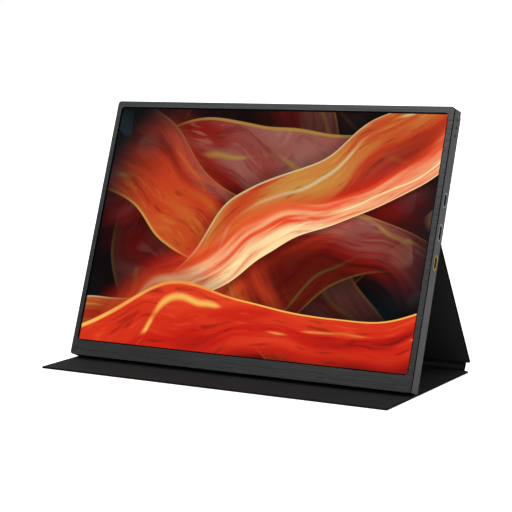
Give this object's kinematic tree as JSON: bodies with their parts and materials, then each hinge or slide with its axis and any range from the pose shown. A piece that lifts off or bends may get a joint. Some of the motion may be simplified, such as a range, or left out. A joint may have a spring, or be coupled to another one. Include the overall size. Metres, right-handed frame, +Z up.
{
  "type": "portable monitor with folding cover",
  "caption": "Slim flat-backed portable monitor with side ports and buttons, propped on a thin folding cover whose leg, heel strip and flap make a triangular stand.",
  "frame": {"origin": "middle of the footprint, on the surface that the flap lies on", "axes": "+X to the right seen from the front, +Y to the back, +Z up; the screen faces -Y and leans back"},
  "size_m": [0.2952, 0.1424, 0.2001],
  "materials": {
    "bezel": "fine horizontal hairline, satin",
    "frame": "moulded, matt",
    "screen": "gloss front film with a lit picture",
    "cell": "laminated glass",
    "film": "frosted",
    "guide": "clear acrylic",
    "light_strip": "light sources on a flexible strip",
    "steel": "zinc plated",
    "board": "solder mask",
    "flex": "polyimide film",
    "housing": "fine blasted, anodised dark grey",
    "chip": "moulded",
    "port_metal": "polished",
    "port_gold": "polished yellow",
    "port_plastic": "moulded",
    "button": "matt",
    "lead": "soft insulation",
    "magnet": "nickel plated",
    "cover_skin": "fine grained coated cloth",
    "cover_lining": "short smooth nap",
    "stiffener": "fibre board"
  },
  "bodies": {
    "monitor": {"front_bezel": "bezel", "bezel_tape": "frame", "mid_frame": "frame", "polariser_film": "screen", "lcd_cell": "cell", "film_stack": "film", "light_guide": "guide", "reflector_sheet": "film", "backlight_bar": "light_strip", "panel_tray": "steel", "panel_driver_board": "board", "panel_cable": "flex", "rear_housing": "housing", "main_board": "board", "board_chips": "chip", "board_shield": "steel", "board_screws": "steel", "upper_port_shell": "port_metal", "upper_port_tongue": "port_plastic", "video_port_shell": "port_metal", "video_port_tongue": "port_plastic", "lower_port_shell": "port_gold", "lower_port_tongue": "port_gold", "silver_port_rims": "port_metal", "gold_port_rim": "port_gold", "button_board": "board", "button_switches": "chip", "left_speaker": "chip", "right_speaker": "chip", "speaker_leads": "lead", "housing_magnets": "magnet", "housing_screws": "steel", "back_panel_skin": "cover_skin", "back_panel_board": "stiffener", "back_panel_magnets": "magnet", "back_panel_lining": "cover_lining", "back_fold_web": "cover_skin"},
    "leg": {"leg_skin": "cover_skin", "leg_board": "stiffener", "leg_lining": "cover_lining", "heel_fold_web": "cover_skin"},
    "heel": {"heel_skin": "cover_skin", "heel_strip": "stiffener", "heel_lining": "cover_lining", "flap_fold_web": "cover_skin"},
    "flap": {"flap_skin": "cover_skin", "flap_board": "stiffener", "flap_lining": "cover_lining"},
    "power_button": {"power_button": "button"},
    "plus_button": {"plus_button": "button"},
    "minus_button": {"minus_button": "button"}
  },
  "joints": [
    {"name": "leg_fold", "type": "hinge", "parent": "monitor", "child": "leg", "pos_m": [0, 0.01617, 0.10193], "axis": [1, 0, 0], "range_deg": [-48, 25]},
    {"name": "heel_fold", "type": "hinge", "parent": "leg", "child": "heel", "pos_m": [0, 0.0708, 0.00645], "axis": [1, 0, 0], "range_deg": [-12, 22]},
    {"name": "flap_fold", "type": "hinge", "parent": "heel", "child": "flap", "pos_m": [0, 0.06789, 0.00075], "axis": [1, 0, 0], "range_deg": [0, 150]},
    {"name": "power_button_press", "type": "slide", "parent": "monitor", "child": "power_button", "axis": [-1, 0, 0], "range_m": [0, 0.0004], "stiffness_N_per_m": 500},
    {"name": "plus_button_press", "type": "slide", "parent": "monitor", "child": "plus_button", "axis": [-1, 0, 0], "range_m": [0, 0.0004], "stiffness_N_per_m": 500},
    {"name": "minus_button_press", "type": "slide", "parent": "monitor", "child": "minus_button", "axis": [-1, 0, 0], "range_m": [0, 0.0004], "stiffness_N_per_m": 500}
  ],
  "couplings": [
    {"joint": "heel_fold", "follows": "leg_fold", "ratio": -0.44}
  ]
}
